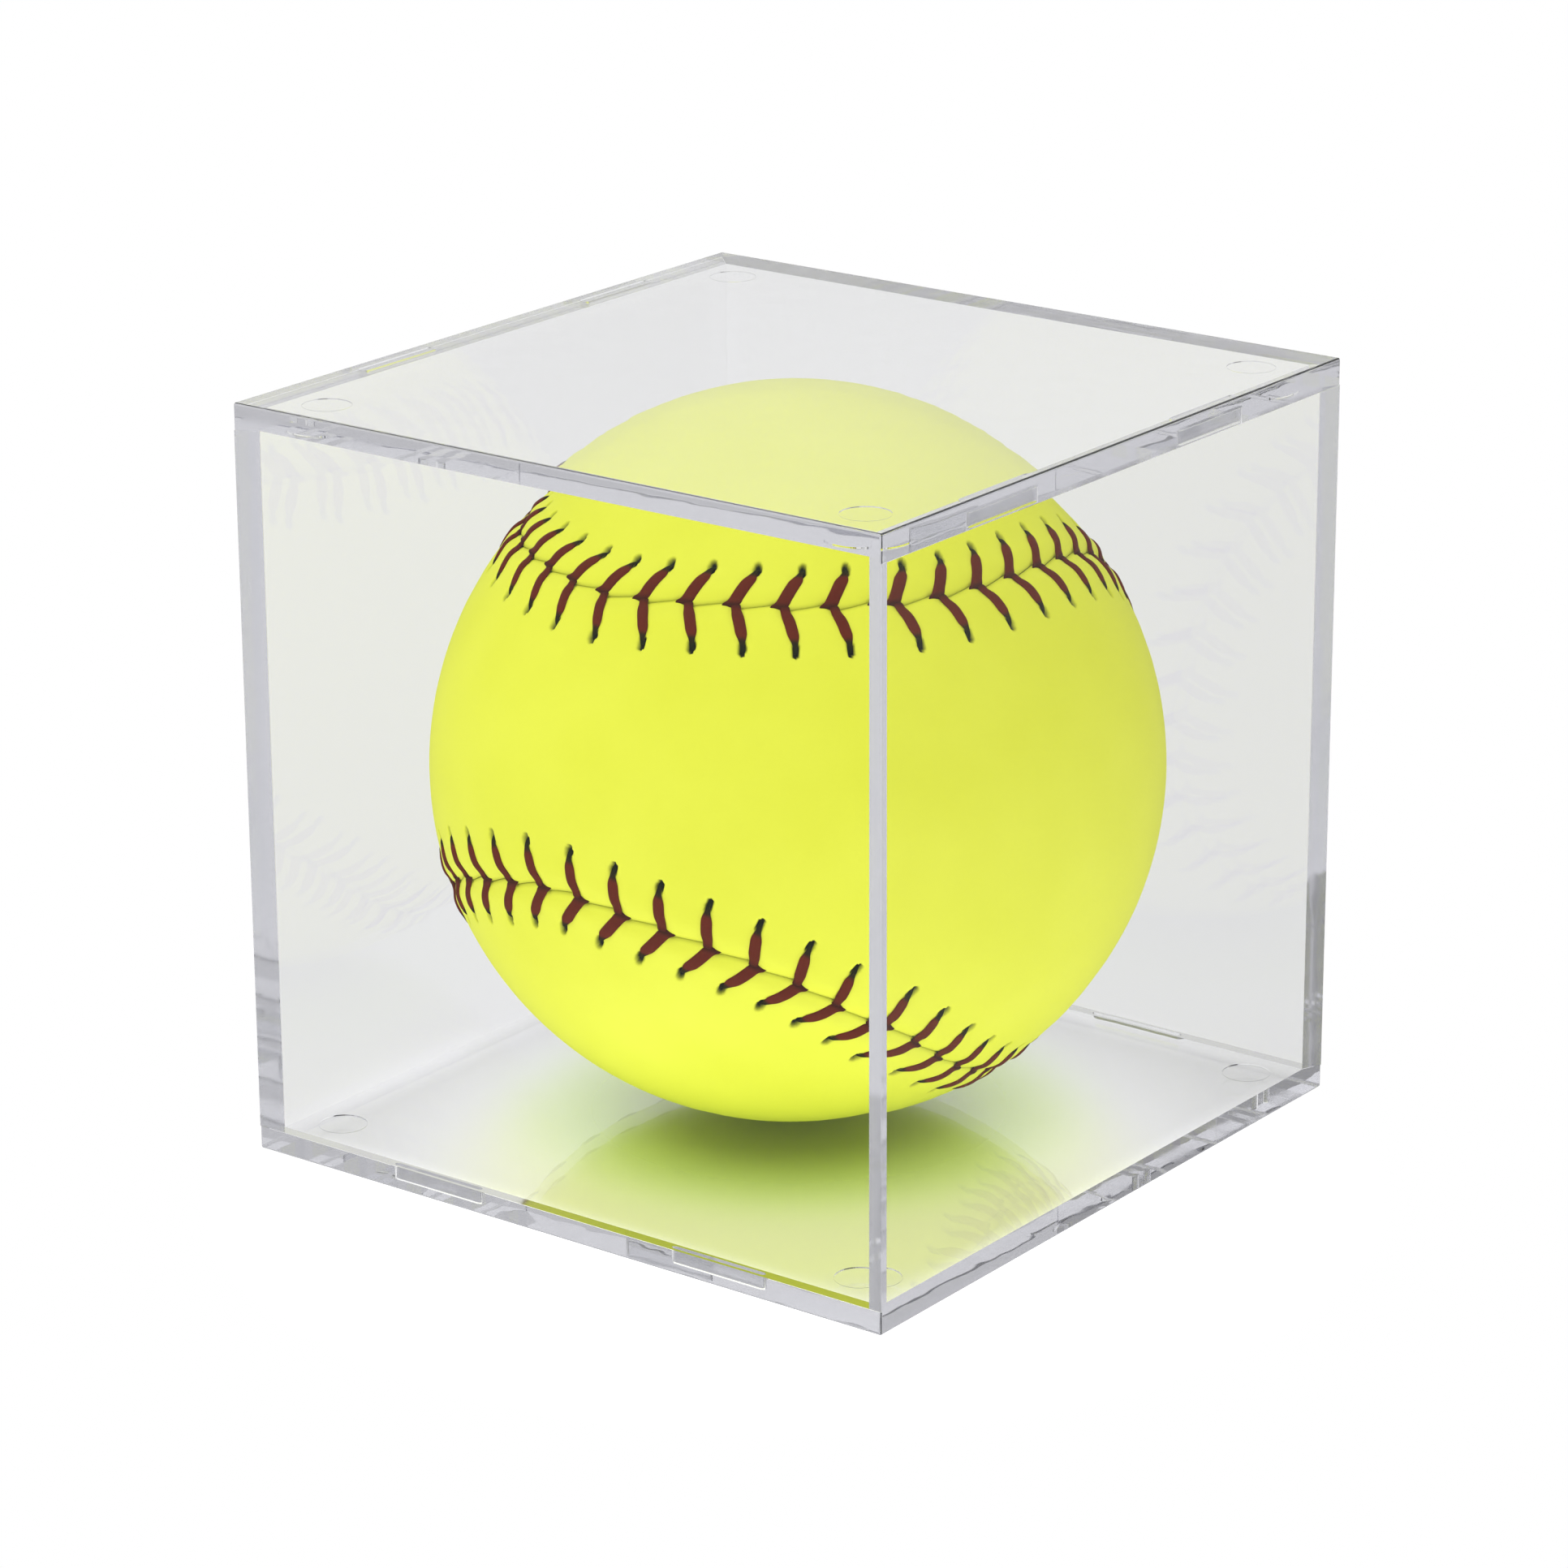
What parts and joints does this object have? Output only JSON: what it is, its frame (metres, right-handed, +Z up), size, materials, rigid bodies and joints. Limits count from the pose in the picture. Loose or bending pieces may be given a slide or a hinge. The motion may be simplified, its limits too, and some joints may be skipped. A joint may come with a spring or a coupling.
{
  "type": "ball display case",
  "caption": "Clear cube display case of interlocking U-shaped halves around a stitched yellow softball; the upper half lifts off and the ball turns inside.",
  "frame": {"origin": "middle of the underside of the lower half, on the surface it stands on", "axes": "+Z up, out of the lid; +X and -X are the faces of the lower half's walls, +Y and -Y those of the upper half's walls"},
  "size_m": [0.104, 0.104, 0.1044],
  "materials": {
    "clear_acrylic": "polished",
    "fibre_core": "matte",
    "yellow_leather": "satin",
    "waxed_thread": "satin"
  },
  "bodies": {
    "lower": {"lower_half": "clear_acrylic"},
    "upper": {"upper_half": "clear_acrylic"},
    "ball": {"ball_core": "fibre_core", "back_cover_panel": "yellow_leather", "front_cover_panel": "yellow_leather", "seam_stitches": "waxed_thread"}
  },
  "joints": [
    {"name": "upper_half_lift", "type": "slide", "parent": "lower", "child": "upper", "axis": [0, 0, 1], "range_m": [0, 0.11]},
    {"name": "ball_turn", "type": "hinge", "parent": "lower", "child": "ball", "pos_m": [0, 0, 0.05185], "axis": [0, 0, 1], "continuous": true}
  ]
}
